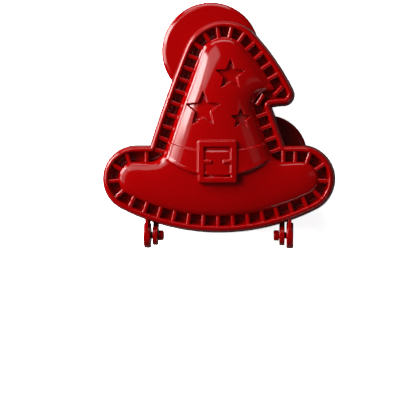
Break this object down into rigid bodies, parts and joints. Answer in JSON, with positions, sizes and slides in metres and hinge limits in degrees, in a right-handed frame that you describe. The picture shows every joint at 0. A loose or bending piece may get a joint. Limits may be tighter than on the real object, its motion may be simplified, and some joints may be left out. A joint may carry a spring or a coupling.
{
  "type": "hand pie mold",
  "caption": "Hinged two-half mold shaped like a pointed hat, with crimping ribs round a domed body and round palm pads behind.",
  "frame": {"origin": "middle of the footprint, on the surface that the palm pads rest on", "axes": "+Z out of the hat's face, +Y from the hinge towards the crown, +X across the brim, towards the bent tip"},
  "size_m": [0.1426, 0.1528, 0.0452],
  "materials": {
    "red_plastic": "glossy moulded"
  },
  "bodies": {
    "rear": {"rear_shell": "red_plastic", "crown_pad": "red_plastic", "brim_pad": "red_plastic"},
    "front": {"front_shell": "red_plastic", "hinge_pin_left": "red_plastic", "hinge_pin_right": "red_plastic"}
  },
  "joints": [
    {"name": "lid_hinge", "type": "hinge", "parent": "rear", "child": "front", "pos_m": [0, -0.0685, 0.0275], "axis": [1, 0, 0], "range_deg": [0, 180]}
  ]
}
